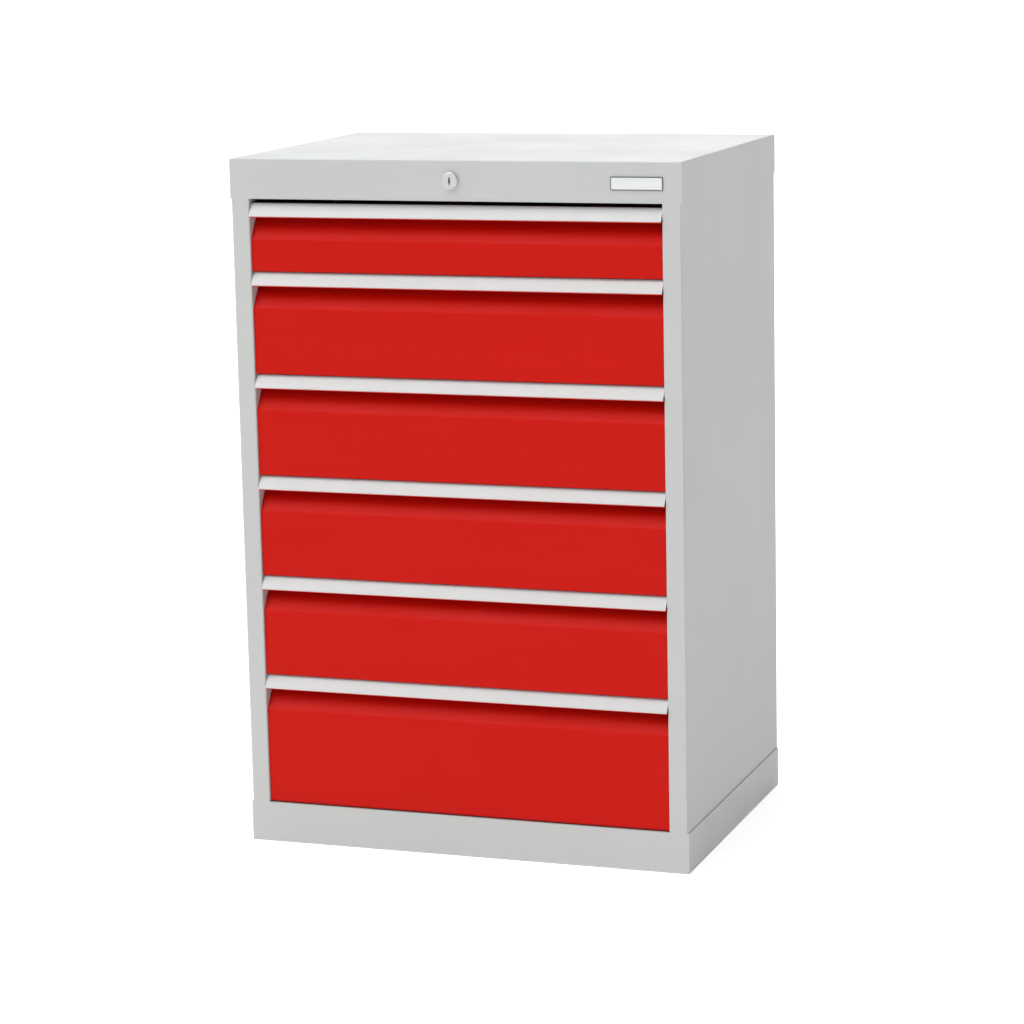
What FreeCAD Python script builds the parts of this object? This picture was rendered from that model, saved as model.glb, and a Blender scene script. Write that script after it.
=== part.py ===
"""Sheet steel cabinet with six drawers on telescopic runners and one central lock.

Millimetres. X runs to the right as seen from the front, Y to the back, Z up.
The origin is on the floor, under the middle of the cabinet's overall box.
Right-hand pieces are modelled first, and left-hand ones are their mirror image.
"""
import FreeCAD, Part
import math
import os

# Casing
cabinet_width = 680.0
cabinet_depth = 500.0
cap_height = 58.0
plinth_height = 59.5
casing_sheet = 1.25
rear_sheet = 1.0
casing_bend = 0.8
skirt_gap = 0.15
stile_width = 29.0
stile_return = 28.0
stile_hem = 10.0
stile_seam = 0.1
panel_in_skirt = 40.0
panel_front_setback = 3.0
panel_flange = 15.0
rear_flange = 20.0
fascia_lip = 13.0
plinth_lip = 15.0
plinth_foot = 25.0
lip_end_gap = 6.0
bottom_panel_skirt = 15.0

# Drawers, from the top one down, in steps of the front module
module = 50.0
drawer_module_counts = (2, 3, 3, 3, 3, 4)
opening_allowance = 1.5
front_drop = 5.6
front_gap = 1.6
front_end_gap = 0.6
front_sheet = 1.25
front_setback = 3.0
front_bend = 1.0
nose_bend = 0.3
nose_projection = 4.1
nose_height = 19.9
nose_rise_angle = 57.1
recess_depth = 24.0
recess_height = 32.0
front_return = 15.0
front_side_flange = 18.0
tray_sheet = 1.0
tray_lift = 7.5
tray_side_drop = 25.4
tray_hem = 8.0
tray_rear_gap = 46.0
divider_slot_width = 3.0
divider_slot_height = 12.0
divider_slot_drop = 10.0
divider_slot_pitch = 50.0
divider_end_margin = 40.0

# Handle strip, across the drawer's nose
strip_width = 21.9
strip_thickness = 1.8
strip_rim = 1.2
strip_channel = 0.4
strip_edge = 1.5

# Telescopic runners
rail_sheet = 1.5
rail_height = 32.0
rail_centre_height = 24.0
rail_gap = 0.4
rail_front_setback = 38.0
rail_rear_gap = 30.0
rail_wall_gap = 0.5
runner_space = 10.4
drawer_rail_reach = 7.8
rail_flange_reach = 8.5
hook_width = 5.0
hook_height = 12.0
hook_drop = 4.0
hook_thickness = 1.7
hook_gap = 0.3
buffer_thickness = 3.5
buffer_height = 14.0
buffer_gap = 0.3

# Slotted uprights
upright_sheet = 1.5
upright_width = 36.0
upright_foot = 12.0
upright_front_setback = 72.0
upright_rear_gap = 64.0
slot_width = 6.0
slot_height = 14.0

# Cylinder lock in the fascia
lock_projection = 5.0
lock_face_diameter = 24.5
lock_face_chamfer = 0.8
lock_body_diameter = 19.0
lock_body_length = 22.0
lock_flat_width = 16.0
lock_hole_gap = 0.1
plug_diameter = 13.0
running_gap = 0.05
plug_overlength = 0.3
key_slot_height = 10.5
key_slot_width = 2.0
key_slot_bulge = 3.8
key_slot_bulge_height = 4.4
key_slot_depth = 6.0
nut_across_flats = 24.0
nut_thickness = 4.0
cam_thickness = 2.0
cam_hub_diameter = 16.0
cam_arm = 8.5
cam_end_diameter = 9.0
drive_pin_diameter = 5.0
tenon_width = 7.0
cam_screw_head = 10.0
cam_screw_head_height = 2.2
cam_screw_diameter = 4.0
cam_screw_length = 8.0

# Locking linkage
slider_thickness = 2.0
slider_plane = 27.5
slider_height = 16.0
slider_drop = 4.0
slider_tail = 20.0
slot_play = 0.45
slider_head_margin = 4.2
bar_thickness = 3.0
bar_width = 18.0
bar_plane = 31.0
bar_wall_gap = 2.5
bar_foot_gap = 12.0
bar_head_width = 15.0
bar_head_height = 18.0
bar_head_thickness = 2.5
bar_pin_drop = 14.0
tongue_reach = 8.0
tongue_height = 11.0
tongue_level = 40.0
tongue_thickness = 2.5
catch_level = 54.0
catch_height = 12.0
catch_thickness = 2.5
catch_gap = 0.6
catch_length = 18.0
guide_sheet = 1.5
guide_gap = 0.25
guide_length = 12.0
guide_hanger = 15.0
guide_margin = 4.0
guide_flange = 14.0
guide_level = 90.0

overrun = 2.0
nut_sides = 6
pin_start_angle = 45.0

# Values that follow
opening_height = module * sum(drawer_module_counts) + opening_allowance
opening_bottom = plinth_height
opening_top = plinth_height + opening_height
cabinet_height = opening_top + cap_height
half_width = cabinet_width / 2
opening_half = half_width - stile_width
front_half = opening_half - front_end_gap
tray_half = front_half - runner_space
panel_outer = half_width - casing_sheet - skirt_gap
panel_inner = panel_outer - casing_sheet
nose_slope = math.radians(nose_rise_angle)
strip_overhang = strip_thickness * math.sin(nose_slope) - strip_edge * math.cos(nose_slope)
front_projection = max(lock_projection, nose_projection + strip_overhang)
front_y = front_projection - (cabinet_depth + front_projection) / 2
rear_y = front_y + cabinet_depth
rear_panel_outer = rear_y - casing_sheet - skirt_gap
rear_flange_outer = rear_panel_outer - rear_sheet
cap_inner_z = cabinet_height - casing_sheet
panel_top = cap_inner_z - casing_sheet
bottom_panel_top = plinth_height - casing_sheet
bottom_panel_low = bottom_panel_top - casing_sheet

tray_front_y = front_y + recess_depth + front_sheet
tray_rear_y = rear_y - tray_rear_gap
rail_front_y = front_y + rail_front_setback
rail_rear_y = rear_y - rail_rear_gap
sliding_rail_rear_y = rail_rear_y - buffer_thickness - buffer_gap
cabinet_rail_outer = opening_half + rail_wall_gap * 2 + rail_sheet
middle_rail_outer = opening_half - rail_wall_gap
upright_face = cabinet_rail_outer
upright_front_y = front_y + upright_front_setback
upright_rear_y = rear_y - upright_rear_gap - upright_width

lock_z = cabinet_height - cap_height / 2
lock_back_y = front_y + lock_body_length
cam_y = lock_back_y + plug_overlength
slider_y = front_y + slider_plane
slider_top = lock_z - slider_drop
slider_low = slider_top - slider_height
bar_y = front_y + bar_plane
bar_outer = opening_half + rail_wall_gap + bar_wall_gap + bar_thickness * 2
bar_inner = bar_outer - bar_thickness
bar_pin_x = bar_outer - bar_thickness / 2
bar_pin_z = lock_z - bar_pin_drop
lock_stroke = 2 * cam_arm * math.sin(math.radians(pin_start_angle))


def box(x_low, x_high, y_low, y_high, z_low, z_high):
    """Block between two corners."""
    corner = FreeCAD.Vector(x_low, y_low, z_low)
    return Part.makeBox(x_high - x_low, y_high - y_low, z_high - z_low, corner)


def rod(diameter, x, z, y_low, y_high):
    """Round bar along Y."""
    base = FreeCAD.Vector(x, y_low, z)
    return Part.makeCylinder(diameter / 2, y_high - y_low, base, FreeCAD.Vector(0, 1, 0))


def place(plane, start):
    """Turn flat coordinates of a section into a point, on a plane that stands at start."""
    if plane == "xy":
        return lambda a, b: FreeCAD.Vector(a, b, start)
    if plane == "yz":
        return lambda a, b: FreeCAD.Vector(start, a, b)
    return lambda a, b: FreeCAD.Vector(a, start, b)


def run_of(plane, length):
    """Vector along which a section of this plane is drawn out."""
    if plane == "xy":
        return FreeCAD.Vector(0, 0, length)
    if plane == "yz":
        return FreeCAD.Vector(length, 0, 0)
    return FreeCAD.Vector(0, length, 0)


def prism(points, plane, start, length):
    """Straight bar with a many-sided section."""
    to_point = place(plane, start)
    corners = [to_point(a, b) for a, b in points]
    wire = Part.makePolygon(corners + corners[:1])
    return Part.Face(wire).extrude(run_of(plane, length))


def unit(start, end):
    """Direction from one flat point to another."""
    length = math.dist(start, end)
    return (end[0] - start[0]) / length, (end[1] - start[1]) / length


def offset_line(points, distance):
    """Line of points moved to its left by a distance, with mitred corners."""
    moved = []
    for index, point in enumerate(points):
        before = unit(points[index - 1], point) if index else None
        after = unit(point, points[index + 1]) if index < len(points) - 1 else None
        before = before or after
        after = after or before
        sine = before[0] * after[1] - before[1] * after[0]
        cosine = before[0] * after[0] + before[1] * after[1]
        half_tangent = sine / (1 + cosine)
        move_a = -before[1] * distance - before[0] * distance * half_tangent
        move_b = before[0] * distance - before[1] * distance * half_tangent
        moved.append((point[0] + move_a, point[1] + move_b))
    return moved


def turn_at(points, index):
    """Signed angle through which a line turns at one of its points."""
    before = unit(points[index - 1], points[index])
    after = unit(points[index], points[index + 1])
    sine = before[0] * after[1] - before[1] * after[0]
    cosine = before[0] * after[0] + before[1] * after[1]
    return math.atan2(sine, cosine)


def rounded_edges(points, radii, to_point):
    """Edges along a line of points whose inner corners are rounded."""
    edges = []
    start = points[0]
    for index in range(1, len(points) - 1):
        corner = points[index]
        if not radii[index - 1]:
            edges.append(Part.makeLine(to_point(*start), to_point(*corner)))
            start = corner
            continue
        before = unit(points[index - 1], corner)
        after = unit(corner, points[index + 1])
        turn = turn_at(points, index)
        reach = radii[index - 1] * math.tan(abs(turn) / 2)
        arc_start = (corner[0] - before[0] * reach, corner[1] - before[1] * reach)
        arc_end = (corner[0] + after[0] * reach, corner[1] + after[1] * reach)
        rise = radii[index - 1] * (1 / math.cos(turn / 2) - 1)
        inward = unit((0, 0), (after[0] - before[0], after[1] - before[1]))
        middle = (corner[0] + inward[0] * rise, corner[1] + inward[1] * rise)
        edges.append(Part.makeLine(to_point(*start), to_point(*arc_start)))
        arc = Part.Arc(to_point(*arc_start), to_point(*middle), to_point(*arc_end))
        edges.append(arc.toShape())
        start = arc_end
    edges.append(Part.makeLine(to_point(*start), to_point(*points[-1])))
    return edges


def folded_sheet(points, thickness, bends, plane, start, length):
    """Sheet folded along a line of points, which is its face on the right of the line.

    bends holds the inner radius of each fold, and 0 makes a sharp one.
    """
    right_radii = []
    left_radii = []
    for index, radius in enumerate(bends):
        turn = turn_at(points, index + 1)
        outer_radius = radius + thickness if radius else 0
        right_radii.append(outer_radius if turn > 0 else radius)
        left_radii.append(radius if turn > 0 else outer_radius)
    left = offset_line(points, thickness)
    to_point = place(plane, start)
    right_edges = rounded_edges(points, right_radii, to_point)
    left_edges = rounded_edges(left, left_radii, to_point)
    ends = [
        Part.makeLine(to_point(*points[-1]), to_point(*left[-1])),
        Part.makeLine(to_point(*left[0]), to_point(*points[0])),
    ]
    wire = Part.Wire(Part.__sortEdges__(right_edges + ends + left_edges))
    return Part.Face(wire).extrude(run_of(plane, length))


def mirrored(shape):
    """The same piece on the other side of the cabinet."""
    return shape.mirror(FreeCAD.Vector(0, 0, 0), FreeCAD.Vector(1, 0, 0))


def joined(first, *others):
    """One solid from pieces that touch or overlap."""
    return first.fuse(list(others)).removeSplitter()


def save(name, *shapes):
    """Write one node, with each piece as its own solid."""
    solids = [solid for shape in shapes for solid in shape.Solids]
    shape = solids[0] if len(solids) == 1 else Part.makeCompound(solids)
    shape.exportStep("parts/" + name + ".step")
    print(name, len(solids), "solids", "valid" if shape.isValid() else "NOT VALID")


def drawer_levels():
    """Top, lower edge and module line of each drawer front, from the top drawer down."""
    levels = []
    line = opening_bottom + module * sum(drawer_module_counts)
    for count in drawer_module_counts:
        top = line - front_drop
        base = top - count * module + front_gap
        bottom = max(base, opening_bottom + front_gap)
        levels.append((top, bottom, base))
        line -= count * module
    return levels


def rail_centre(base):
    """Height of a drawer's runners over its module line."""
    return base + tray_lift + rail_centre_height


def side_panel():
    """Side wall with the front stile and the rear flange folded from one sheet."""
    back = front_y + stile_return
    path = [
        (opening_half + stile_hem, back),
        (opening_half, back),
        (opening_half, front_y),
        (panel_outer, front_y),
        (panel_outer, rear_flange_outer),
        (panel_outer - rear_flange, rear_flange_outer),
    ]
    low = plinth_height - panel_in_skirt
    bends = [0, casing_bend, casing_bend, casing_bend]
    fold_low = panel_top - casing_bend
    sheet = folded_sheet(path, casing_sheet, bends, "xy", low, fold_low - low)
    cuts = []
    for z_low, z_high in (
        (low - overrun, opening_bottom + stile_seam),
        (opening_top - stile_seam, panel_top + overrun),
    ):
        stile = back + overrun
        cuts.append(box(opening_half - overrun, panel_inner, front_y - overrun, stile, z_low, z_high))
        edge = front_y + panel_front_setback
        cuts.append(box(panel_inner - overrun, half_width, front_y - overrun, edge, z_low, z_high))
    sheet = sheet.cut(cuts)
    top_path = [
        (panel_outer, fold_low - casing_bend),
        (panel_outer, cap_inner_z),
        (panel_inner - panel_flange, cap_inner_z),
    ]
    start_y = front_y + panel_front_setback
    length = rear_flange_outer - start_y
    flange = folded_sheet(top_path, casing_sheet, [casing_bend], "xz", start_y, length)
    return joined(sheet, flange)


def rear_panel():
    """Flat back, welded on the flanges of both side walls."""
    low = plinth_height - panel_in_skirt
    return box(-panel_outer, panel_outer, rear_flange_outer, rear_panel_outer, low, panel_top)


def top_cover():
    """Cap with skirts on all four sides, and the lock's hole in its front skirt."""
    outer = box(-half_width, half_width, front_y, rear_y, opening_top, cabinet_height)
    brim = [edge for edge in outer.Edges if edge.BoundBox.ZMin > opening_top + overrun]
    outer = outer.makeFillet(casing_bend + casing_sheet, brim)
    inner = box(
        -half_width + casing_sheet,
        half_width - casing_sheet,
        front_y + casing_sheet,
        rear_y - casing_sheet,
        opening_top - overrun,
        cap_inner_z,
    )
    ceiling = [edge for edge in inner.Edges if edge.BoundBox.ZMin > opening_top + overrun]
    cover = outer.cut(inner.makeFillet(casing_bend, ceiling))
    lip_half = panel_inner - lip_end_gap
    lip = box(
        -lip_half,
        lip_half,
        front_y,
        front_y + fascia_lip,
        opening_top,
        opening_top + casing_sheet,
    )
    hole = rod(
        lock_body_diameter + lock_hole_gap * 2, 0, lock_z, front_y - overrun, front_y + overrun * 2
    )
    flat = lock_flat_width / 2 + lock_hole_gap
    hole = hole.common(
        box(-flat, flat, front_y - overrun, front_y + overrun * 2, opening_top, cabinet_height)
    )
    return joined(cover, lip).cut(hole)


def bottom_panel():
    """Floor of the casing, with its edges folded down inside the plinth."""
    front = front_y + panel_front_setback
    back = rear_flange_outer - casing_sheet - casing_bend
    sheet = box(-panel_inner, panel_inner, front, back, bottom_panel_low, bottom_panel_top)
    low = bottom_panel_low - bottom_panel_skirt
    left = box(-panel_inner, casing_sheet - panel_inner, front, back, low, bottom_panel_low)
    right = mirrored(left)
    return joined(sheet, left, right)


def base_plinth():
    """Skirt round the foot of the cabinet, with a foot flange turned in on the floor."""
    outer = box(-half_width, half_width, front_y, rear_y, 0, plinth_height)
    inner = box(
        -half_width + casing_sheet,
        half_width - casing_sheet,
        front_y + casing_sheet,
        rear_y - casing_sheet,
        casing_sheet,
        plinth_height + overrun,
    )
    mouth = box(
        -half_width + plinth_foot,
        half_width - plinth_foot,
        front_y + plinth_foot,
        rear_y - plinth_foot,
        -overrun,
        plinth_height,
    )
    lip_half = panel_inner - lip_end_gap
    lip = box(
        -lip_half,
        lip_half,
        front_y,
        front_y + plinth_lip,
        bottom_panel_top,
        plinth_height,
    )
    return joined(outer.cut([inner, mouth]), lip)


def upright(start_y):
    """Hat-shaped upright on the side wall, slotted at every module for the runners."""
    end_y = start_y + upright_width
    face = upright_face + upright_sheet
    path = [
        (panel_inner, start_y - upright_foot),
        (panel_inner, start_y),
        (face, start_y),
        (face, end_y),
        (panel_inner, end_y),
        (panel_inner, end_y + upright_foot),
    ]
    bends = [0] * (len(path) - 2)
    height = panel_top - casing_bend - bottom_panel_top
    sheet = folded_sheet(path, upright_sheet, bends, "xy", bottom_panel_top, height)
    middle = start_y + upright_width / 2
    first = rail_centre(drawer_levels()[-1][2])
    count = sum(drawer_module_counts)
    slots = []
    for step in range(count):
        z = first + module * step
        slots.append(
            box(
                upright_face - overrun,
                face + overrun,
                middle - slot_width / 2,
                middle + slot_width / 2,
                z - slot_height / 2,
                z + slot_height / 2,
            )
        )
    return sheet.cut(slots)


def rail_hook(middle_y, centre):
    """Hook of a cabinet rail, through an upright's slot and down behind its face."""
    y_low = middle_y - hook_width / 2
    y_high = middle_y + hook_width / 2
    top = centre + hook_height / 2
    low = centre - hook_height / 2
    behind = upright_face + upright_sheet + hook_gap
    neck = box(cabinet_rail_outer, behind + hook_thickness, y_low, y_high, low, top)
    tip = box(behind, behind + hook_thickness, y_low, y_high, low - hook_drop, low)
    return joined(neck, tip)


def rail_channel(web, tip, centre, half, rear_y_of_rail):
    """Channel of one runner member, from its web's outer face to its flanges' tips."""
    path = [(tip, centre - half), (web, centre - half), (web, centre + half), (tip, centre + half)]
    if tip > web:
        path.reverse()
    length = rear_y_of_rail - rail_front_y
    return folded_sheet(path, rail_sheet, [0, 0], "xz", rail_front_y, length)


def cabinet_rail(base):
    """Fixed outer member of a runner: a channel that opens to the drawer."""
    centre = rail_centre(base)
    web = cabinet_rail_outer
    tip = web - rail_sheet - rail_flange_reach
    half = rail_height / 2
    channel = rail_channel(web, tip, centre, half, rail_rear_y)
    lug = box(
        tip,
        web,
        rail_rear_y,
        rail_rear_y + rail_sheet,
        centre - half,
        centre + half,
    )
    hooks = [
        rail_hook(start + upright_width / 2, centre) for start in (upright_front_y, upright_rear_y)
    ]
    return joined(channel, lug, *hooks)


def middle_height():
    """Outer height of the middle rail, which runs inside the cabinet rail."""
    return rail_height - 2 * (rail_sheet + rail_gap)


def middle_rail(base):
    """Middle member, which travels half as far as the drawer."""
    tip = tray_half + rail_sheet + rail_gap
    half = middle_height() / 2
    return rail_channel(middle_rail_outer, tip, rail_centre(base), half, sliding_rail_rear_y)


def drawer_rail_half():
    """Half the outer height of the drawer rail, which runs inside the middle rail."""
    return middle_height() / 2 - rail_sheet - rail_gap


def drawer_rail(base):
    """Inner member, welded on the drawer's side wall: a channel that opens outwards."""
    tip = tray_half + drawer_rail_reach
    half = drawer_rail_half()
    return rail_channel(tray_half, tip, rail_centre(base), half, sliding_rail_rear_y)


def lock_catch(base):
    """Angle welded on the drawer's right-hand wall, which the locking tongue holds."""
    low = base + tray_lift + catch_level
    high = low + catch_height
    front = bar_y + tongue_thickness + catch_gap
    wall = tray_half
    stem = box(wall, wall + rail_sheet, front, front + catch_length, low, high)
    ear = box(wall, wall + drawer_rail_reach, front, front + catch_thickness, low, high)
    return joined(stem, ear)


def rail_buffer(base):
    """Rubber stop at the rear end of a cabinet rail."""
    centre = rail_centre(base)
    low = cabinet_rail_outer - rail_sheet - rail_flange_reach
    high = middle_rail_outer
    return box(
        low,
        high,
        rail_rear_y - buffer_thickness,
        rail_rear_y,
        centre - buffer_height / 2,
        centre + buffer_height / 2,
    )


def nose_point(top, along, out):
    """Point of a drawer's nose: along its slope from the lower lip, and out from the sheet."""
    y = front_y - nose_projection + along * math.cos(nose_slope) - out * math.sin(nose_slope)
    z = top - nose_height + along * math.sin(nose_slope) + out * math.cos(nose_slope)
    return y, z


def nose_length():
    """Length of the nose's slope, from its lower lip to the top of the front."""
    return nose_height / math.sin(nose_slope)


def drawer_front(top, bottom):
    """Front of one folded sheet: top flange, nose, finger recess, face and lower return."""
    lip = top - nose_height
    face = front_y + front_setback
    path = [
        (tray_front_y + tray_sheet, top),
        nose_point(top, nose_length(), 0),
        nose_point(top, 0, 0),
        (front_y + recess_depth, lip),
        (face, lip - recess_height),
        (face, bottom),
        (tray_front_y, bottom),
        (tray_front_y, bottom + front_return),
    ]
    bends = [front_bend, nose_bend, nose_bend, front_bend, front_bend, 0]
    sheet = folded_sheet(path, front_sheet, bends, "yz", -front_half, 2 * front_half)
    inner_face = face + front_sheet
    flange = box(
        front_half - front_sheet,
        front_half,
        inner_face,
        inner_face + front_side_flange,
        bottom + front_sheet,
        lip - recess_height - front_side_flange,
    )
    return joined(sheet, flange, mirrored(flange))


def handle_strip(top):
    """Aluminium strip on the nose's slope, with a rim along both edges."""
    inner = strip_thickness - strip_channel
    end = strip_edge + strip_width
    section = [
        (strip_edge, 0),
        (strip_edge, strip_thickness),
        (strip_edge + strip_rim, strip_thickness),
        (strip_edge + strip_rim, inner),
        (end - strip_rim, inner),
        (end - strip_rim, strip_thickness),
        (end, strip_thickness),
        (end, 0),
    ]
    points = [nose_point(top, along, out) for along, out in section]
    return prism(points, "yz", -front_half, 2 * front_half)


def divider_slots(side_top):
    """Cuts for the dividers' tabs, in a row under the hem of both side walls."""
    room = tray_rear_y - tray_front_y - 2 * divider_end_margin
    steps = int(room / divider_slot_pitch)
    middle = (tray_front_y + tray_rear_y) / 2
    first = middle - steps * divider_slot_pitch / 2
    high = side_top - divider_slot_drop
    reach = tray_half + overrun
    cuts = []
    for step in range(steps + 1):
        y = first + step * divider_slot_pitch
        cuts.append(
            box(
                -reach,
                reach,
                y - divider_slot_width / 2,
                y + divider_slot_width / 2,
                high - divider_slot_height,
                high,
            )
        )
    return cuts


def drawer_tray(top, base):
    """Open box of the drawer, with hems on its side walls and a tall front wall."""
    low = base + tray_lift
    side_top = top - tray_side_drop
    outer = box(-tray_half, tray_half, tray_front_y, tray_rear_y, low, side_top)
    inner = box(
        tray_sheet - tray_half,
        tray_half - tray_sheet,
        tray_front_y + tray_sheet,
        tray_rear_y - tray_sheet,
        low + tray_sheet,
        side_top + overrun,
    )
    wall_top = top - front_sheet
    wall = box(
        -tray_half, tray_half, tray_front_y, tray_front_y + tray_sheet, side_top, wall_top
    )
    hem = box(
        tray_half - tray_hem,
        tray_half,
        tray_front_y,
        tray_rear_y,
        side_top - tray_sheet,
        side_top,
    )
    tray = joined(outer.cut(inner), wall, hem, mirrored(hem))
    return tray.cut(divider_slots(side_top))


def flats(width, y_low, y_high):
    """Block that leaves two flats on a round body round the lock's axis."""
    reach = lock_face_diameter
    return box(-width / 2, width / 2, y_low, y_high, lock_z - reach, lock_z + reach)


def lock_housing():
    """Body of the lock: round face, and a flattened barrel through the fascia."""
    face_y = front_y - lock_projection
    face = rod(lock_face_diameter, 0, lock_z, face_y, front_y)
    rim = [edge for edge in face.Edges if edge.Closed and edge.CenterOfMass.y < face_y + running_gap]
    face = face.makeChamfer(lock_face_chamfer, rim)
    barrel = rod(lock_body_diameter, 0, lock_z, front_y, lock_back_y)
    barrel = barrel.common(flats(lock_flat_width, front_y, lock_back_y))
    bore = rod(
        plug_diameter + running_gap * 2, 0, lock_z, face_y - overrun, lock_back_y + overrun
    )
    return joined(face, barrel).cut(bore)


def lock_nut():
    """Hexagon nut that clamps the lock behind the fascia."""
    low = front_y + casing_sheet
    step = 2 * math.pi / nut_sides
    radius = nut_across_flats / 2 / math.cos(step / 2)
    corners = [
        (radius * math.cos(step * corner), lock_z + radius * math.sin(step * corner))
        for corner in range(nut_sides)
    ]
    nut = prism(corners, "xz", low, nut_thickness)
    hole = rod(
        lock_body_diameter + running_gap * 2, 0, lock_z, low - overrun, low + nut_thickness + overrun
    )
    return nut.cut(hole)


def lock_plug():
    """Turning plug, with the key slot in its face and a square tenon for the cam."""
    face_y = front_y - lock_projection
    core = rod(plug_diameter, 0, lock_z, face_y, cam_y)
    half = tenon_width / 2
    tenon = box(-half, half, cam_y, cam_y + cam_thickness, lock_z - half, lock_z + half)
    slot_half = key_slot_width / 2
    bulge_half = key_slot_bulge / 2
    high = key_slot_height / 2
    bulge_high = key_slot_bulge_height / 2
    outline = [
        (-slot_half, -high),
        (slot_half, -high),
        (slot_half, -bulge_high),
        (bulge_half, 0),
        (slot_half, bulge_high),
        (slot_half, high),
        (-slot_half, high),
        (-slot_half, bulge_high),
        (-bulge_half, 0),
        (-slot_half, -bulge_high),
    ]
    points = [(x, lock_z + z) for x, z in outline]
    key_slot = prism(points, "xz", face_y - overrun, key_slot_depth + overrun)
    thread = cam_screw_diameter + running_gap * 2
    back = cam_y + cam_thickness
    screw_hole = rod(thread, 0, lock_z, back - cam_screw_length - overrun, back + overrun)
    return joined(core, tenon).cut([key_slot, screw_hole])


def cam_screw():
    """Screw that holds the cam on the plug."""
    back = cam_y + cam_thickness
    shank = rod(cam_screw_diameter, 0, lock_z, back - cam_screw_length, back)
    head = rod(cam_screw_head, 0, lock_z, back, back + cam_screw_head_height)
    return joined(shank, head)


def cam_pin_offset():
    """How far the cam's pin lies beside and below the lock's axis at rest."""
    angle = math.radians(pin_start_angle)
    return cam_arm * math.sin(angle), cam_arm * math.cos(angle)


def lock_cam():
    """Cam on the plug's tenon, with the pin that drives the slider."""
    back = cam_y + cam_thickness
    beside, below = cam_pin_offset()
    hub = rod(cam_hub_diameter, 0, lock_z, cam_y, back)
    end = rod(cam_end_diameter, beside, lock_z - below, cam_y, back)
    slope = cam_end_diameter / 2 * math.sin(math.radians(pin_start_angle))
    arm = prism(
        [
            (-slope, lock_z - slope),
            (beside - slope, lock_z - below - slope),
            (beside + slope, lock_z - below + slope),
            (slope, lock_z + slope),
        ],
        "xz",
        cam_y,
        cam_thickness,
    )
    pin_end = slider_y + slider_thickness + running_gap
    pin = rod(drive_pin_diameter, beside, lock_z - below, back, pin_end)
    half = tenon_width / 2 + running_gap
    socket = box(-half, half, cam_y - overrun, back + overrun, lock_z - half, lock_z + half)
    return joined(hub, end, arm, pin).cut(socket)


def lock_slider():
    """Flat slider behind the fascia: a fork for the cam's pin, and a ramp for the bar's pin."""
    beside, below = cam_pin_offset()
    pin_half = drive_pin_diameter / 2 + slot_play
    head_low = bar_pin_z - pin_half - slider_head_margin
    head_high = bar_pin_z + lock_stroke + pin_half + slider_head_margin
    head_left = bar_pin_x - pin_half - slider_head_margin * 2
    head_right = bar_pin_x + lock_stroke + pin_half + slider_head_margin / 2
    strip = box(-slider_tail, head_right, slider_y, slider_y + slider_thickness, slider_low, slider_top)
    head = box(head_left, head_right, slider_y, slider_y + slider_thickness, head_low, head_high)
    fork_floor = lock_z - cam_arm - pin_half
    fork = box(
        beside - pin_half,
        beside + pin_half,
        slider_y - overrun,
        slider_y + slider_thickness + overrun,
        fork_floor,
        slider_top + overrun,
    )
    angle = math.radians(pin_start_angle)
    shift = pin_half * math.sin(angle)
    ramp_end_x = bar_pin_x + lock_stroke
    ramp_end_z = bar_pin_z + lock_stroke
    ramp = prism(
        [
            (bar_pin_x - shift, bar_pin_z + shift),
            (bar_pin_x + shift, bar_pin_z - shift),
            (ramp_end_x + shift, ramp_end_z - shift),
            (ramp_end_x - shift, ramp_end_z + shift),
        ],
        "xz",
        slider_y - overrun,
        slider_thickness + overrun * 2,
    )
    y_low = slider_y - overrun
    y_high = slider_y + slider_thickness + overrun
    low_end = rod(pin_half * 2, bar_pin_x, bar_pin_z, y_low, y_high)
    high_end = rod(pin_half * 2, ramp_end_x, ramp_end_z, y_low, y_high)
    return joined(strip, head).cut([fork, ramp, low_end, high_end])


def slider_guide(x_low):
    """Keeper under the cap, through which the slider runs."""
    x_high = x_low + guide_length
    y_low = slider_y - guide_gap
    y_high = slider_y + slider_thickness + guide_gap
    z_low = slider_low - guide_gap
    z_high = slider_top + guide_gap
    outer = box(
        x_low,
        x_high,
        y_low - guide_sheet,
        y_high + guide_sheet,
        z_low - guide_sheet,
        z_high + guide_sheet,
    )
    window = box(x_low - overrun, x_high + overrun, y_low, y_high, z_low, z_high)
    stem = box(x_low, x_high, y_high, y_high + guide_sheet, z_high, cap_inner_z)
    foot = box(
        x_low,
        x_high,
        y_high,
        y_high + guide_hanger,
        cap_inner_z - guide_sheet,
        cap_inner_z,
    )
    return joined(outer.cut(window), stem, foot)


def locking_bar():
    """Upright bar behind the right-hand stile, with a head and a pin for the slider."""
    low = bottom_panel_top + bar_foot_gap
    top = bar_pin_z + bar_head_height / 2
    bar = box(bar_inner, bar_outer, bar_y, bar_y + bar_width, low, top)
    head = box(
        bar_pin_x - bar_head_width / 2,
        bar_pin_x + bar_head_width / 2,
        bar_y,
        bar_y + bar_head_thickness,
        bar_pin_z - bar_head_height / 2,
        top,
    )
    pin = rod(drive_pin_diameter, bar_pin_x, bar_pin_z, slider_y - running_gap, bar_y)
    return bar.cut(head), joined(head, pin)


def lock_tongue(base):
    """Tongue on the locking bar, which rises in front of a drawer's catch."""
    low = base + tray_lift + tongue_level
    return box(
        bar_inner - bar_wall_gap - tongue_reach - bar_thickness,
        bar_inner,
        bar_y,
        bar_y + tongue_thickness,
        low,
        low + tongue_height,
    )


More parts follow.
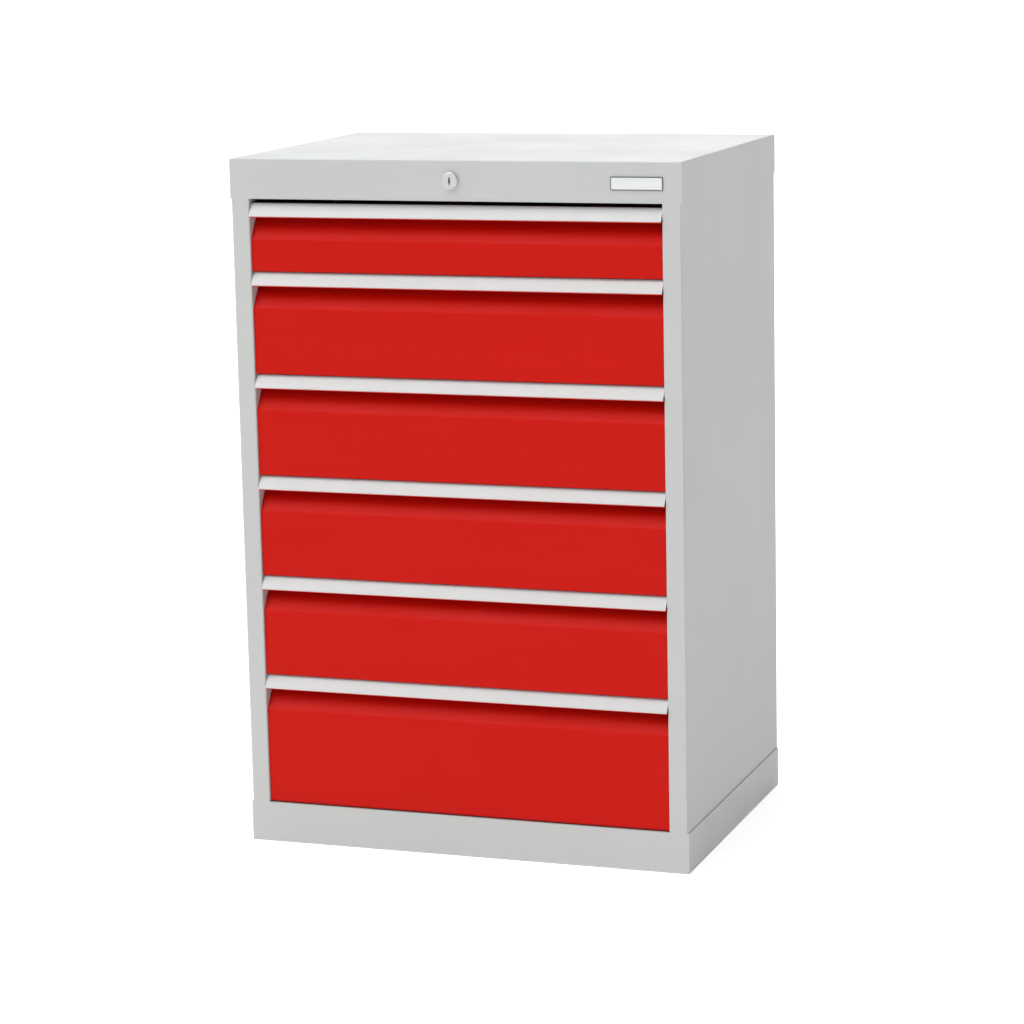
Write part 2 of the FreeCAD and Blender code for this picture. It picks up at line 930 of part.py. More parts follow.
def bar_guide(z):
    """Bracket on the side wall, with a window in which the locking bar slides."""
    y_low = bar_y - guide_gap
    y_high = bar_y + bar_width + guide_gap
    leaf = box(
        bar_inner - guide_margin,
        panel_inner,
        y_low - guide_sheet,
        y_high + guide_margin,
        z,
        z + guide_sheet,
    )
    window = box(
        bar_inner - guide_gap,
        bar_outer + guide_gap,
        y_low,
        y_high,
        z - overrun,
        z + guide_sheet + overrun,
    )
    foot = box(
        panel_inner - guide_sheet,
        panel_inner,
        y_low - guide_sheet,
        y_high + guide_margin,
        z - guide_flange,
        z,
    )
    return joined(leaf.cut(window), foot)


def write_casing():
    """Casing and uprights."""
    right = side_panel()
    save("side_panel_right", right)
    save("side_panel_left", mirrored(right))
    save("rear_panel", rear_panel())
    save("top_cover", top_cover())
    save("bottom_panel", bottom_panel())
    save("base_plinth", base_plinth())
    for name, start_y in (("front", upright_front_y), ("rear", upright_rear_y)):
        piece = upright(start_y)
        save("upright_" + name + "_right", piece)
        save("upright_" + name + "_left", mirrored(piece))


def write_drawers():
    """Six drawers with their runners."""
    buffers = []
    for index, (top, bottom, base) in enumerate(drawer_levels()):
        number = str(index + 1)
        outer_rail = cabinet_rail(base)
        save("cabinet_rail_" + number, outer_rail, mirrored(outer_rail))
        middle = middle_rail(base)
        save("middle_rail_" + number, middle, mirrored(middle))
        inner_rail = drawer_rail(base)
        save("drawer_rail_" + number, inner_rail, mirrored(inner_rail), lock_catch(base))
        save("drawer_tray_" + number, drawer_tray(top, base))
        save("drawer_front_" + number, drawer_front(top, bottom))
        save("handle_strip_" + number, handle_strip(top))
        buffers += [rail_buffer(base), mirrored(rail_buffer(base))]
    save("rail_buffers", *buffers)


def write_lock():
    """Cylinder lock and the linkage that locks all drawers."""
    save("lock_housing", lock_housing())
    save("lock_nut", lock_nut())
    save("lock_plug", lock_plug())
    save("cam_screw", cam_screw())
    save("lock_cam", lock_cam())
    save("lock_slider", lock_slider())
    quarter = opening_half / 4
    save("slider_guides", slider_guide(quarter), slider_guide(quarter * 3))
    save("locking_bar", *locking_bar())
    bases = [base for top, bottom, base in drawer_levels()]
    save("lock_tongues", *[lock_tongue(base) for base in bases])
    guides = [bar_guide(base + tray_lift + guide_level) for base in bases[1::2]]
    save("bar_guides", *guides)


os.makedirs("parts", exist_ok=True)
write_casing()
write_drawers()
write_lock()
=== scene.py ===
"""Look of a sheet steel drawer cabinet: paints, metals, small fittings and the studio.

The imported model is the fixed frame. Each operator finishes one group of its pieces, or models
pieces too small for the frame. The panel in the 3D view's sidebar lists them all.
"""

import math

import bpy
from mathutils import Matrix, Vector


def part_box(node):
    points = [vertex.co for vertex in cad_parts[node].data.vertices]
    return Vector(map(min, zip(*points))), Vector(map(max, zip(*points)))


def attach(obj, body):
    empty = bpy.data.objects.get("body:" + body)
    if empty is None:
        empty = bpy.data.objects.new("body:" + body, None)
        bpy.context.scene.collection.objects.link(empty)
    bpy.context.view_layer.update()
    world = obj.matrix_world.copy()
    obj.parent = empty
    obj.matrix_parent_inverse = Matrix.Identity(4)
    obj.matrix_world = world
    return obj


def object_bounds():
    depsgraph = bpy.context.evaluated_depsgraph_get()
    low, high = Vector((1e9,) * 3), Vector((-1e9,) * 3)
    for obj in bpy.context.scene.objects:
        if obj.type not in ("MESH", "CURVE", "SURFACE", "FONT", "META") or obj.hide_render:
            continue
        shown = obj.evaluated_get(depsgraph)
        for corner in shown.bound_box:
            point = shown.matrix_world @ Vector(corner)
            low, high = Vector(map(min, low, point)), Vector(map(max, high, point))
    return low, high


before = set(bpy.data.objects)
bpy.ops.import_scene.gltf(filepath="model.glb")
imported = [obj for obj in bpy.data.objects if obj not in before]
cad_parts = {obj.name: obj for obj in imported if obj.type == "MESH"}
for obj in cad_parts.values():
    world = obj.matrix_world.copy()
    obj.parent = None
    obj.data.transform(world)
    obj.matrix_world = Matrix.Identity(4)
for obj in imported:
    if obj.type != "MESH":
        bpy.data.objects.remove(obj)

bl_info = {
    "name": "Drawer Cabinet",
    "version": (1, 0, 0),
    "blender": (4, 5, 0),
    "location": "3D View > Sidebar > Cabinet",
    "description": "Paints, metals and small fittings of a sheet steel drawer cabinet",
    "category": "Object",
}

DRAWERS = range(1, 7)
CABINET_LOW, CABINET_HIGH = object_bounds()
CASING_SHEETS = (
    "side_panel_left",
    "side_panel_right",
    "rear_panel",
    "top_cover",
    "bottom_panel",
    "base_plinth",
)
UPRIGHTS = (
    "upright_front_left",
    "upright_front_right",
    "upright_rear_left",
    "upright_rear_right",
)
LINKAGE = (
    "lock_nut",
    "cam_screw",
    "lock_cam",
    "lock_slider",
    "slider_guides",
    "locking_bar",
    "lock_tongues",
    "bar_guides",
)


class PaintSettings(bpy.types.PropertyGroup):
    """Colours and surface of the powder coats."""

    casing_colour: bpy.props.FloatVectorProperty(
        name="Casing",
        description="Colour of the casing's powder coat",
        subtype="COLOR",
        default=(0.533, 0.546, 0.536),
        min=0.0,
        max=1.0,
    )
    front_colour: bpy.props.FloatVectorProperty(
        name="Fronts",
        description="Colour of the drawer fronts' powder coat",
        subtype="COLOR",
        default=(0.557, 0.005, 0.0012),
        min=0.0,
        max=1.0,
    )
    tray_colour: bpy.props.FloatVectorProperty(
        name="Trays",
        description="Colour of the drawer trays' powder coat",
        subtype="COLOR",
        default=(0.54, 0.552, 0.54),
        min=0.0,
        max=1.0,
    )
    peel_size: bpy.props.FloatProperty(
        name="Peel width",
        description="Width of one wave of the powder coat's orange peel",
        unit="LENGTH",
        default=0.003,
        min=0.0005,
        max=0.02,
        precision=4,
    )
    peel_depth: bpy.props.FloatProperty(
        name="Peel depth",
        description="Height of the orange peel's waves",
        unit="LENGTH",
        default=0.00003,
        min=0.0,
        max=0.001,
        precision=5,
    )
    roughness: bpy.props.FloatProperty(
        name="Roughness",
        description="Roughness of the clean powder coat",
        subtype="FACTOR",
        default=0.46,
        min=0.0,
        max=1.0,
    )
    wear: bpy.props.FloatProperty(
        name="Wear",
        description="How far edges are rubbed, and the plinth is dusty",
        subtype="FACTOR",
        default=0.5,
        min=0.0,
        max=1.0,
    )


class MetalSettings(bpy.types.PropertyGroup):
    """Colours of the bare metals, the rubber and the bare plate."""

    strip_colour: bpy.props.FloatVectorProperty(
        name="Strips",
        description="Colour of the anodised handle strips",
        subtype="COLOR",
        default=(0.485, 0.485, 0.485),
        min=0.0,
        max=1.0,
    )
    zinc_colour: bpy.props.FloatVectorProperty(
        name="Zinc",
        description="Colour of the zinc plating on runners and linkage",
        subtype="COLOR",
        default=(0.56, 0.575, 0.60),
        min=0.0,
        max=1.0,
    )
    nickel_colour: bpy.props.FloatVectorProperty(
        name="Nickel",
        description="Colour of the lock's satin nickel",
        subtype="COLOR",
        default=(0.640, 0.635, 0.621),
        min=0.0,
        max=1.0,
    )
    rubber_colour: bpy.props.FloatVectorProperty(
        name="Rubber",
        description="Colour of the runners' stops",
        subtype="COLOR",
        default=(0.022, 0.022, 0.024),
        min=0.0,
        max=1.0,
    )
    plate_colour: bpy.props.FloatVectorProperty(
        name="Plate",
        description="Colour of the bare plate's face",
        subtype="COLOR",
        default=(0.74, 0.76, 0.77),
        min=0.0,
        max=1.0,
    )
    plate_edge_colour: bpy.props.FloatVectorProperty(
        name="Plate edge",
        description="Colour of the bare plate's thin dark edge",
        subtype="COLOR",
        default=(0.10, 0.10, 0.10),
        min=0.0,
        max=1.0,
    )


class FittingSettings(bpy.types.PropertyGroup):
    """Sizes of the small fittings."""

    plate_width: bpy.props.FloatProperty(
        name="Plate width",
        description="Width of the bare plate on the fascia",
        unit="LENGTH",
        default=0.076,
        min=0.02,
        max=0.2,
    )
    plate_height: bpy.props.FloatProperty(
        name="Plate height",
        description="Height of the bare plate on the fascia",
        unit="LENGTH",
        default=0.019,
        min=0.01,
        max=0.05,
    )
    plate_thickness: bpy.props.FloatProperty(
        name="Plate thickness",
        description="How far the bare plate stands off the fascia",
        unit="LENGTH",
        default=0.0012,
        min=0.0005,
        max=0.004,
        precision=4,
    )
    plate_right: bpy.props.FloatProperty(
        name="Plate right end",
        description="Distance of the plate's right end from the cabinet's middle",
        unit="LENGTH",
        default=0.313,
        min=0.1,
        max=0.335,
    )
    plate_level: bpy.props.FloatProperty(
        name="Plate level",
        description="Height of the plate's middle above the floor",
        unit="LENGTH",
        default=0.9885,
        min=0.9,
        max=1.01,
    )
    rivet_diameter: bpy.props.FloatProperty(
        name="Rivet",
        description="Diameter of a blind rivet's head",
        unit="LENGTH",
        default=0.0075,
        min=0.003,
        max=0.015,
        precision=4,
    )
    rivet_height: bpy.props.FloatProperty(
        name="Rivet height",
        description="Height of a blind rivet's head",
        unit="LENGTH",
        default=0.0012,
        min=0.0005,
        max=0.004,
        precision=4,
    )


class StudioSettings(bpy.types.PropertyGroup):
    """Floor, light and camera."""

    floor_colour: bpy.props.FloatVectorProperty(
        name="Floor",
        description="Colour of the studio's floor",
        subtype="COLOR",
        default=(0.54, 0.54, 0.54),
        min=0.0,
        max=1.0,
    )
    floor_glow: bpy.props.FloatProperty(
        name="Floor glow",
        description="Strength of the light that the floor gives off by itself",
        default=0.68,
        min=0.0,
        max=2.0,
    )
    horizon_light: bpy.props.FloatProperty(
        name="Horizon",
        description="Strength of the room's white light at eye level",
        default=0.12,
        min=0.0,
        max=5.0,
    )
    zenith_light: bpy.props.FloatProperty(
        name="Zenith",
        description="Strength of the room's white light from straight above",
        default=0.0,
        min=0.0,
        max=5.0,
    )
    back_wall_light: bpy.props.FloatProperty(
        name="Back wall",
        description="Strength of the white wall behind the cabinet, which its top reflects",
        default=1.6,
        min=0.0,
        max=5.0,
    )
    ceiling_light: bpy.props.FloatProperty(
        name="Ceiling light",
        description="Strength of the wide soft light overhead",
        default=4.15,
        min=0.0,
        max=20.0,
    )
    front_light: bpy.props.FloatProperty(
        name="Front light",
        description="Strength of the wide soft light in front",
        default=0.51,
        min=0.0,
        max=20.0,
    )
    ceiling_width: bpy.props.FloatProperty(
        name="Ceiling light width",
        description="Angle that the light overhead fills, seen from the cabinet",
        unit="ROTATION",
        default=math.radians(90.0),
        min=0.0,
        max=math.pi,
    )
    front_width: bpy.props.FloatProperty(
        name="Front light width",
        description="Angle that the light in front fills, seen from the cabinet",
        unit="ROTATION",
        default=math.radians(56.0),
        min=0.0,
        max=math.pi,
    )
    camera_lens: bpy.props.FloatProperty(
        name="Lens",
        description="Focal length in millimetres on a sensor 36 mm wide",
        default=115.676,
        min=20.0,
        max=300.0,
    )


class Shade:
    """A socket's value, on which sums and products add their Math nodes."""

    def __init__(self, finish, socket):
        self.finish = finish
        self.socket = socket

    def __add__(self, other):
        return self.finish.sum_up("ADD", self, other)

    def __radd__(self, other):
        return self.finish.sum_up("ADD", other, self)

    def __sub__(self, other):
        return self.finish.sum_up("SUBTRACT", self, other)

    def __rsub__(self, other):
        return self.finish.sum_up("SUBTRACT", other, self)

    def __mul__(self, other):
        return self.finish.sum_up("MULTIPLY", self, other)

    def __rmul__(self, other):
        return self.finish.sum_up("MULTIPLY", other, self)


class Finish:
    """Node tree of one finish, in metres of the cabinet's own frame."""

    def __init__(self, name, kind="materials", place="Object"):
        self.holder = getattr(bpy.data, kind).new(name)
        self.holder.use_nodes = True
        self.tree = self.holder.node_tree
        self.tree.nodes.clear()
        self.position = self.add("ShaderNodeTexCoord", {}, {}, place)

    def add(self, kind, settings, inputs, output=0):
        """Add a node: its settings first, then the values or links of its sockets."""
        node = self.tree.nodes.new(kind)
        for name, value in settings.items():
            setattr(node, name, value)
        for name, value in inputs.items():
            if isinstance(value, Shade):
                self.tree.links.new(value.socket, node.inputs[name])
            else:
                node.inputs[name].default_value = value
        return Shade(self, node.outputs[output]) if node.outputs else None

    def sum_up(self, operation, first, second):
        """Value of a Math node on two values."""
        return self.add("ShaderNodeMath", {"operation": operation}, {0: first, 1: second})

    def clipped(self, value):
        """The value kept between 0 and 1."""
        return self.add("ShaderNodeClamp", {}, {"Value": value})

    def along(self, axis):
        """Place along the cabinet's X, Y or Z axis."""
        return self.add("ShaderNodeSeparateXYZ", {}, {"Vector": self.position}, axis)

    def distance(self, axis, middle):
        """Distance from a place along one axis."""
        offset = self.along(axis) - middle
        return self.add("ShaderNodeMath", {"operation": "ABSOLUTE"}, {0: offset})

    def noise(self, size, detail=2.0, stretch=(1.0, 1.0, 1.0)):
        """Cloudy pattern with spots of this size, drawn out along an axis by a stretch above 1."""
        scale = tuple(1.0 / (size * share) for share in stretch)
        place = self.add("ShaderNodeMapping", {}, {"Vector": self.position, "Scale": scale})
        inputs = {"Vector": place, "Scale": 1.0, "Detail": detail, "Roughness": 0.55}
        return self.add("ShaderNodeTexNoise", {}, inputs, "Fac")

    def step(self, value, low, high):
        """Smooth rise from 0 to 1 as the value goes from low to high."""
        settings = {"interpolation_type": "SMOOTHSTEP"}
        inputs = {"Value": value, "From Min": low, "From Max": high}
        return self.add("ShaderNodeMapRange", settings, inputs)

    def tint(self, amount, first, second):
        """Colour between two colours."""
        settings = {"data_type": "RGBA"}
        return self.add("ShaderNodeMix", settings, {0: amount, 6: first, 7: second}, 2)

    def relief(self, height, depth, under=None):
        """Bumps as deep as this, in metres, on other bumps if any."""
        inputs = {"Strength": 1.0, "Distance": depth, "Height": height}
        if under:
            inputs["Normal"] = under
        return self.add("ShaderNodeBump", {}, inputs)

    def surface(self, inputs):
        """Close the tree with its shader, and return the material."""
        shader = self.add("ShaderNodeBsdfPrincipled", {}, inputs)
        self.add("ShaderNodeOutputMaterial", {}, {"Surface": shader})
        return self.holder


def shaded(colour, share):
    """A colour made lighter or darker by a share, with its alpha."""
    return tuple(min(1.0, part * share) for part in colour) + (1.0,)


def edge_closeness(finish, width):
    """1 on the cabinet's outer edges, falling to 0 this far from them."""
    middle = (CABINET_LOW + CABINET_HIGH) / 2
    closeness = -1.0
    for axis, centre, half in (
        ("X", middle.x, CABINET_HIGH.x - middle.x),
        ("Y", fascia_middle(), CABINET_HIGH.y - fascia_middle()),
        ("Z", middle.z, CABINET_HIGH.z - middle.z),
    ):
        closeness = closeness + finish.step(finish.distance(axis, centre), half - width, half)
    return finish.clipped(closeness)


def fascia_middle():
    """Middle of the casing's depth, between its fascia and its back."""
    low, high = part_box("base_plinth")
    return (low.y + high.y) / 2


def coat_relief(finish, paint):
    """Orange peel of a powder coat, with a fine grain on it."""
    peel = finish.relief(finish.noise(size=paint.peel_size, detail=1.0), paint.peel_depth)
    grain = finish.noise(size=paint.peel_size * 0.3, detail=2.0)
    return finish.relief(grain, paint.peel_depth * 0.25, peel)


def coat_colour(finish, colour):
    """Powder coat's colour, with slow clouds and fine specks of pigment."""
    clouds = finish.step(finish.noise(size=0.22, detail=3.0), 0.3, 0.7)
    base = finish.tint(clouds, shaded(colour, 0.982), shaded(colour, 1.012))
    specks = finish.step(finish.noise(size=0.0016, detail=2.0), 0.35, 0.7)
    return finish.tint(specks * 0.25, base, shaded(colour, 0.955))


def casing_paint(paint):
    """Light grey powder coat: edges polished by use, painted light on the lid and a dusty foot."""
    finish = Finish("casing_paint")
    edge_width = 0.0022
    lid_top = CABINET_HIGH.z - 0.0002
    lid_bottom = CABINET_HIGH.z - 0.001
    foot_height = 0.055
    dust_colour = (0.42, 0.40, 0.37, 1.0)
    colour = coat_colour(finish, paint.casing_colour)
    patches = finish.step(finish.noise(size=0.018, detail=4.0), 0.42, 0.62)
    rubbed = edge_closeness(finish, edge_width) * patches * paint.wear
    colour = finish.tint(rubbed * 0.5, colour, shaded(paint.casing_colour, 1.16))
    # Painted light: the lid's top face is made up to 15 percent lighter, in patches, as if lit more
    # strongly from above.
    lid = finish.step(finish.along("Z"), lid_bottom, lid_top)
    lid_painted_light = lid * finish.step(finish.noise(size=0.12, detail=4.0), 0.2, 0.8)
    colour = finish.tint(lid_painted_light, colour, shaded(paint.casing_colour, 1.15))
    foot = 1.0 - finish.step(finish.along("Z"), 0.0, foot_height)
    dust = foot * finish.step(finish.noise(size=0.03, detail=5.0), 0.35, 0.75) * paint.wear
    colour = finish.tint(dust * 0.05, colour, dust_colour)
    smears = finish.step(finish.noise(size=0.09, detail=4.0, stretch=(1.0, 1.0, 2.5)), 0.35, 0.75)
    roughness = paint.roughness - 0.02 + smears * 0.05 + dust * 0.25 - rubbed * 0.2
    return finish.surface(
        {
            "Base Color": colour,
            "Roughness": roughness,
            "Specular IOR Level": 0.25,
            "Normal": coat_relief(finish, paint),
        }
    )


def front_paint(paint, number):
    """Red powder coat of one front: painted shade deep in the recess, painted light on its slope, polished
    at the lip.
    """
    finish = Finish("front_paint_" + str(number))
    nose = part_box("handle_strip_" + str(number))[0]
    lip = nose.z
    recess_front = nose.y + 0.0118
    recess_back = nose.y + 0.0258
    recess_low = lip - 0.0353
    recess_floor = lip - 0.0333
    lip_low = lip - 0.0008
    lip_high = lip + 0.0006
    grip_level = lip - 0.004
    colour = coat_colour(finish, paint.front_colour)
    deep = finish.step(finish.along("Y"), recess_front, recess_back)
    above_face = finish.step(finish.along("Z"), recess_low, recess_floor)
    above_lip = finish.step(finish.along("Z"), lip_low, lip_high)
    # Painted shade: deep in the finger recess, under the lip, the red is darkened to 0.6, with a little
    # noise in it.
    recess_painted_shade = deep * (above_face - above_lip) * (0.85 + finish.noise(size=0.04, detail=3.0) * 0.3)
    colour = finish.tint(recess_painted_shade, colour, shaded(paint.front_colour, 0.6))
    # Painted light: the recess's outer slope, which the nose shades, is made a tenth lighter.
    slope = (above_face - above_lip) * (1.0 - deep)
    colour = finish.tint(slope, colour, shaded(paint.front_colour, 1.11))
    near_lip = 1.0 - finish.step(finish.distance("Z", grip_level), 0.004, 0.026)
    near_middle = 1.0 - finish.step(finish.distance("X", 0.0), 0.05, 0.22)
    patches = finish.step(finish.noise(size=0.025, detail=4.0), 0.35, 0.6)
    handled = near_lip * near_middle * patches * paint.wear
    colour = finish.tint(handled * 0.25, colour, shaded(paint.front_colour, 0.86))
    wipes = finish.step(finish.noise(size=0.05, detail=4.0, stretch=(4.0, 1.0, 1.0)), 0.35, 0.75)
    roughness = paint.roughness - 0.06 + wipes * 0.1 - handled * 0.2
    return finish.surface(
        {
            "Base Color": colour,
            "Roughness": roughness,
            "Specular IOR Level": 0.12,
            "Normal": coat_relief(finish, paint),
        }
    )


def tray_paint(paint):
    """Light grey powder coat inside the drawers, scuffed by what slides on it."""
    finish = Finish("tray_paint")
    colour = coat_colour(finish, paint.tray_colour)
    long_marks = finish.step(finish.noise(size=0.0018, detail=2.0, stretch=(1.0, 60.0, 1.0)), 0.66, 0.74)
    cross_marks = finish.step(finish.noise(size=0.0022, detail=2.0, stretch=(45.0, 1.0, 1.0)), 0.68, 0.75)
    patches = finish.step(finish.noise(size=0.07, detail=3.0), 0.5, 0.66)
    scuffs = finish.clipped(long_marks + cross_marks) * patches * paint.wear
    colour = finish.tint(scuffs * 0.5, colour, shaded(paint.tray_colour, 0.72))
    clouds = finish.step(finish.noise(size=0.06, detail=4.0), 0.35, 0.75)
    roughness = paint.roughness + clouds * 0.1 + scuffs * 0.15
    return finish.surface(
        {
            "Base Color": colour,
            "Roughness": roughness,
            "Specular IOR Level": 0.45,
            "Normal": finish.relief(1.0 - scuffs, 0.00002, coat_relief(finish, paint)),
        }
    )


def strip_metal(metals):
    """Matt anodised aluminium: drawn lines along the strip and a sparkling fine grain."""
    finish = Finish("strip_aluminium")
    lines = finish.noise(size=0.0009, detail=3.0, stretch=(220.0, 1.0, 1.0))
    grain = finish.noise(size=0.0021, detail=3.0)
    light = finish.step(grain * 0.75 + lines * 0.25, 0.33, 0.67)
    colour = finish.tint(light, shaded(metals.strip_colour, 0.96), shaded(metals.strip_colour, 1.03))
    clouds = finish.step(finish.noise(size=0.035, detail=4.0), 0.3, 0.7)
    roughness = 0.47 + clouds * 0.02 + grain * 0.08
    etched = finish.relief(grain, 0.00002, finish.relief(lines, 0.00001))
    return finish.surface(
        {"Base Color": colour, "Roughness": roughness, "Metallic": 0.6, "Normal": etched}
    )


def rolled_zinc(metals, name, lengthwise):
    """Zinc plated steel strip: faint crystals, and rolling lines along its length."""
    finish = Finish(name)
    cells = {"Vector": finish.position, "Scale": 140.0, "Randomness": 1.0}
    crystal = finish.add("ShaderNodeTexVoronoi", {"feature": "F1"}, cells, "Color")
    tone = finish.add("ShaderNodeSeparateColor", {}, {"Color": crystal}, "Red")
    lines = finish.noise(size=0.0008, detail=3.0, stretch=lengthwise)
    light = finish.clipped(tone * 0.55 + lines * 0.45)
    colour = finish.tint(light, shaded(metals.zinc_colour, 0.84), shaded(metals.zinc_colour, 1.1))
    stains = finish.step(finish.noise(size=0.04, detail=4.0), 0.45, 0.75)
    colour = finish.tint(stains * 0.2, colour, (0.42, 0.42, 0.40, 1.0))
    roughness = 0.3 + tone * 0.1 + stains * 0.14
    rolled = finish.relief(lines, 0.000015)
    return finish.surface(
        {"Base Color": colour, "Roughness": roughness, "Metallic": 1.0, "Normal": rolled}
    )


def linkage_zinc(metals):
    """Zinc plating with a faint yellow and blue bloom, darkened by grease in places."""
    finish = Finish("linkage_zinc")
    bloom = finish.step(finish.noise(size=0.02, detail=3.0), 0.35, 0.65)
    warm = (0.60, 0.575, 0.49, 1.0)
    colour = finish.tint(bloom, shaded(metals.zinc_colour, 0.95), warm)
    grease = finish.step(finish.noise(size=0.012, detail=4.0), 0.55, 0.75)
    colour = finish.tint(grease * 0.3, colour, (0.22, 0.20, 0.17, 1.0))
    roughness = 0.38 + bloom * 0.08 - grease * 0.14
    pits = finish.relief(finish.noise(size=0.0012, detail=3.0), 0.00002)
    return finish.surface(
        {"Base Color": colour, "Roughness": roughness, "Metallic": 1.0, "Normal": pits}
    )


def turned_nickel(metals):
    """Satin nickel of the lock, with fine rings from turning around its axis."""
    finish = Finish("lock_nickel")
    low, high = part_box("lock_housing")
    centre = (low + high) / 2
    place = {"Vector": finish.position, "Location": (-centre.x, 0.0, -centre.z)}
    turned = finish.add("ShaderNodeMapping", {}, place)
    settings = {"wave_type": "RINGS", "rings_direction": "Y"}
    inputs = {"Vector": turned, "Scale": 900.0, "Distortion": 0.6, "Detail": 2.0}
    rings = finish.add("ShaderNodeTexWave", settings, inputs, "Fac")
    haze = finish.step(finish.noise(size=0.004, detail=4.0), 0.3, 0.75)
    colour = finish.tint(haze, shaded(metals.nickel_colour, 1.03), shaded(metals.nickel_colour, 0.92))
    roughness = 0.44 + haze * 0.12 + rings * 0.05
    return finish.surface(
        {
            "Base Color": colour,
            "Roughness": roughness,
            "Metallic": 0.7,
            "Normal": finish.relief(rings, 0.000006),
        }
    )


def keyway_brass():
    """Dull brass of the tumblers, mostly near black: graphite on them, and painted shade of the deep key
    slot.
    """
    finish = Finish("keyway_brass")
    # Partly painted shade: the near-black patches stand for graphite and for the shade deep in the key
    # slot.
    graphite_and_shade = finish.step(finish.noise(size=0.0009, detail=3.0), 0.3, 0.6)
    colour = finish.tint(graphite_and_shade, (0.30, 0.23, 0.11, 1.0), (0.03, 0.03, 0.032, 1.0))
    roughness = 0.5 + graphite_and_shade * 0.2
    worn = finish.relief(finish.noise(size=0.0004, detail=2.0), 0.00001)
    return finish.surface(
        {"Base Color": colour, "Roughness": roughness, "Metallic": 1.0, "Normal": worn}
    )


def stop_rubber(metals):
    """Black moulded rubber with a chalky bloom."""
    finish = Finish("buffer_rubber")
    bloom = finish.step(finish.noise(size=0.006, detail=4.0), 0.4, 0.75)
    colour = finish.tint(bloom * 0.4, shaded(metals.rubber_colour, 1.0), (0.09, 0.09, 0.09, 1.0))
    roughness = 0.72 + bloom * 0.15
    skin = finish.relief(finish.noise(size=0.0007, detail=3.0), 0.00004)
    return finish.surface({"Base Color": colour, "Roughness": roughness, "Normal": skin})


def plate_face(metals):
    """Pale lacquered face of the bare plate, with faint brushing under the lacquer."""
    finish = Finish("plate_face")
    brushing = finish.noise(size=0.0005, detail=2.0, stretch=(70.0, 1.0, 1.0))
    light = finish.step(brushing, 0.3, 0.7)
    colour = finish.tint(light, shaded(metals.plate_colour, 0.95), shaded(metals.plate_colour, 1.03))
    haze = finish.step(finish.noise(size=0.01, detail=3.0), 0.35, 0.7)
    roughness = 0.3 + haze * 0.12
    brushed = finish.relief(brushing, 0.000008)
    return finish.surface(
        {"Base Color": colour, "Roughness": roughness, "Coat Weight": 0.4, "Normal": brushed}
    )


def plate_edge(metals):
    """Dark grey edge of the bare plate."""
    finish = Finish("plate_edge")
    chips = finish.step(finish.noise(size=0.0012, detail=3.0), 0.58, 0.72)
    colour = finish.tint(chips * 0.35, shaded(metals.plate_edge_colour, 1.0), (0.3, 0.3, 0.3, 1.0))
    roughness = 0.4 + chips * 0.2
    pressed = finish.relief(finish.noise(size=0.0008, detail=2.0), 0.00001)
    return finish.surface({"Base Color": colour, "Roughness": roughness, "Normal": pressed})


def rivet_steel(metals):
    """Bright plated steel of the blind rivets, dulled in spots."""
    finish = Finish("rivet_steel")
    dull = finish.step(finish.noise(size=0.0018, detail=3.0), 0.4, 0.7)
    colour = finish.tint(dull, shaded(metals.zinc_colour, 1.12), shaded(metals.zinc_colour, 0.8))
    roughness = 0.28 + dull * 0.22
    dented = finish.relief(finish.noise(size=0.001, detail=2.0), 0.00002)
    return finish.surface(
        {"Base Color": colour, "Roughness": roughness, "Metallic": 1.0, "Normal": dented}
    )


def studio_floor(studio):
    """Pale matt floor that glows a little, as a light table does."""
    finish = Finish("studio_floor")
    clouds = finish.step(finish.noise(size=1.4, detail=3.0), 0.3, 0.7)
    pale = studio.floor_colour
    colour = finish.tint(clouds, shaded(pale, 0.995), shaded(pale, 1.005))
    return finish.surface(
        {
            "Base Color": colour,
            "Roughness": 0.9,
            "Specular IOR Level": 0.1,
            "Emission Color": (1.0, 1.0, 1.0, 1.0),
            "Emission Strength": studio.floor_glow,
        }
    )


def dress(names, material):
    """Put a material on frame nodes."""
    for name in names:
        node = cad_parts[name]
        if not node.material_slots:
            raise RuntimeError(name + " has no material slot")
        for slot in node.material_slots:
            slot.material = material


def numbered(stem):
    """Names of one kind of node, one for each drawer."""
    return [stem + str(number) for number in DRAWERS]


def deselect_all():
    """Leave edit mode, with nothing selected."""
    if bpy.context.mode != "OBJECT":
        bpy.ops.object.mode_set(mode="OBJECT")
    bpy.ops.object.select_all(action="DESELECT")


def fix_in_place():
    """Move the active object's place, turn and scale into its mesh."""
    bpy.ops.object.transform_apply(location=True, rotation=True, scale=True)


def named(name):
    """The active object, under a new name."""
    piece = bpy.context.active_object
    piece.name = name
    piece.data.name = name
    return piece


def pick(piece, kind, test):
    """In edit mode, select only the faces or edges that pass a test."""
    bpy.ops.object.mode_set(mode="EDIT")
    bpy.ops.mesh.select_mode(type=kind)
    bpy.ops.mesh.select_all(action="DESELECT")
    bpy.ops.object.mode_set(mode="OBJECT")
    mesh = piece.data
    parts = mesh.polygons if kind == "FACE" else mesh.edges
    chosen = [part for part in parts if test(mesh, part)]
    if not chosen:
        raise RuntimeError("nothing on " + piece.name + " passes the test")
    for part in chosen:
        part.select = True
    bpy.ops.object.mode_set(mode="EDIT")


def faces_towards(direction):
    """Test for faces that point this way."""
    aim = Vector(direction)
    return lambda mesh, face: face.normal.dot(aim) > 0.99


def edges_along(direction):
    """Test for edges that run this way."""
    aim = Vector(direction)

    def runs(mesh, edge):
        start, end = (mesh.vertices[index].co for index in edge.vertices)
        return abs((end - start).normalized().dot(aim)) > 0.99

    return runs


